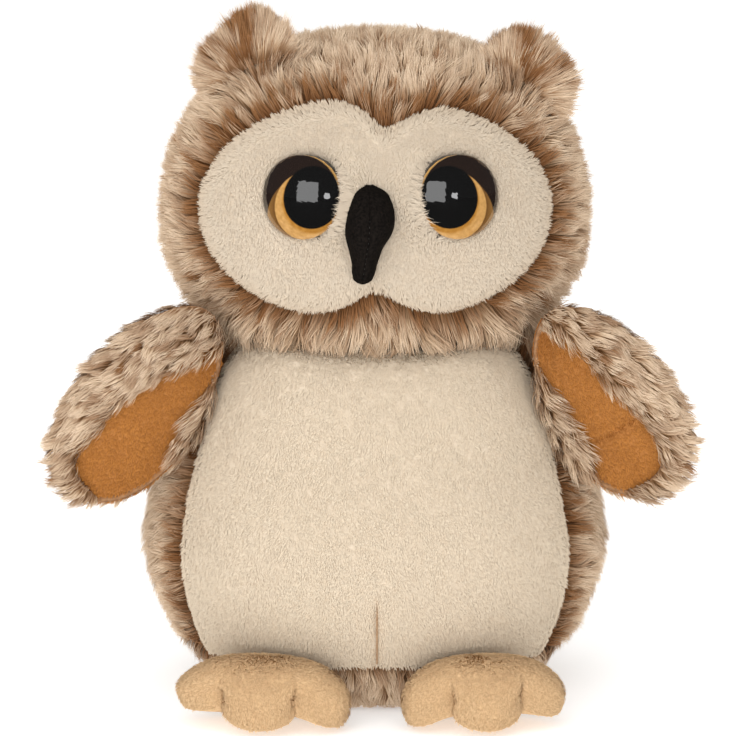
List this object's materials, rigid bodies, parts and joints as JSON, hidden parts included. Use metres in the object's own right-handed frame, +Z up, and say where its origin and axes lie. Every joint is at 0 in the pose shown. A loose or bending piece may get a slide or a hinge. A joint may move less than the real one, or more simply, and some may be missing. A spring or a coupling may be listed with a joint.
{
  "type": "plush owl",
  "caption": "Sitting stuffed owl with a pale face and belly, domed plastic eyes, felt beak, rounded ears, drooping padded wings and toed feet.",
  "frame": {"origin": "middle of the flat underside of the body, on the plane it sits on", "axes": "+Z up, from the base to the crown; the owl looks along -Y; its wings reach along +X and -X"},
  "size_m": [0.1713, 0.1129, 0.1885],
  "materials": {
    "frosted_fur": "long frosted fur, beige tips over brown roots",
    "dark_fur": "brown fur",
    "cream_plush": "short dense cream plush",
    "caramel_nap": "brushed short nap",
    "sand_nap": "brushed short nap",
    "black_felt": "matt felt",
    "white_fibre": "loose fibre stuffing",
    "pellet_bag_cloth": "woven bag of pellets",
    "clear_dome": "clear, polished",
    "gold_ring": "metallic gold print",
    "black_plastic": "moulded, glossy",
    "white_plastic": "moulded"
  },
  "bodies": {
    "body": {"base_panel": "dark_fur", "belly_panel": "cream_plush", "body_back_panel": "frosted_fur", "body_filling": "white_fibre", "pellet_bag": "pellet_bag_cloth"},
    "head": {"beak_filling": "white_fibre", "beak_left_half": "black_felt", "beak_right_half": "black_felt", "eye_left_dome": "clear_dome", "eye_left_iris_ring": "gold_ring", "eye_left_lock_washer": "white_plastic", "eye_left_stem": "black_plastic", "eye_right_dome": "clear_dome", "eye_right_iris_ring": "gold_ring", "eye_right_lock_washer": "white_plastic", "eye_right_stem": "black_plastic", "face_panel": "cream_plush", "head_cover_left": "frosted_fur", "head_cover_right": "frosted_fur", "head_filling": "white_fibre"},
    "ear_left": {"ear_left_back": "frosted_fur", "ear_left_front": "dark_fur"},
    "ear_right": {"ear_right_back": "frosted_fur", "ear_right_front": "dark_fur"},
    "wing_left": {"wing_left_filling": "white_fibre", "wing_left_fur_panel": "frosted_fur", "wing_left_lining": "caramel_nap"},
    "wing_right": {"wing_right_filling": "white_fibre", "wing_right_fur_panel": "frosted_fur", "wing_right_lining": "caramel_nap"},
    "foot_left": {"foot_left_filling": "white_fibre", "foot_left_sole": "sand_nap", "foot_left_upper": "sand_nap"},
    "foot_right": {"foot_right_filling": "white_fibre", "foot_right_sole": "sand_nap", "foot_right_upper": "sand_nap"}
  },
  "joints": [
    {"name": "head_nod", "type": "hinge", "parent": "body", "child": "head", "pos_m": [0, 0, 0.092], "axis": [1, 0, 0], "range_deg": [-5, 5], "stiffness_Nm_per_rad": 0.25},
    {"name": "ear_left_flex", "type": "hinge", "parent": "head", "child": "ear_left", "pos_m": [-0.03388, -0.01647, 0.17277], "axis": [0.8742, 0, 0.4856], "range_deg": [-12, 12], "stiffness_Nm_per_rad": 0.004},
    {"name": "ear_right_flex", "type": "hinge", "parent": "head", "child": "ear_right", "pos_m": [0.03989, -0.01677, 0.16865], "axis": [0.7875, 0, -0.6163], "range_deg": [-12, 12], "stiffness_Nm_per_rad": 0.004},
    {"name": "wing_left_flap", "type": "hinge", "parent": "body", "child": "wing_left", "pos_m": [-0.0437, -0.0295, 0.0965], "axis": [0, 1, 0], "range_deg": [0, 25], "stiffness_Nm_per_rad": 0.03},
    {"name": "wing_right_flap", "type": "hinge", "parent": "body", "child": "wing_right", "pos_m": [0.0453, -0.0292, 0.0965], "axis": [0, -1, 0], "range_deg": [0, 25], "stiffness_Nm_per_rad": 0.03},
    {"name": "foot_left_flex", "type": "hinge", "parent": "body", "child": "foot_left", "pos_m": [-0.0298, -0.04159, 0.02], "axis": [-1, 0, 0], "range_deg": [0, 12], "stiffness_Nm_per_rad": 0.03},
    {"name": "foot_right_flex", "type": "hinge", "parent": "body", "child": "foot_right", "pos_m": [0.0288, -0.04159, 0.02], "axis": [-1, 0, 0], "range_deg": [0, 12], "stiffness_Nm_per_rad": 0.03}
  ]
}
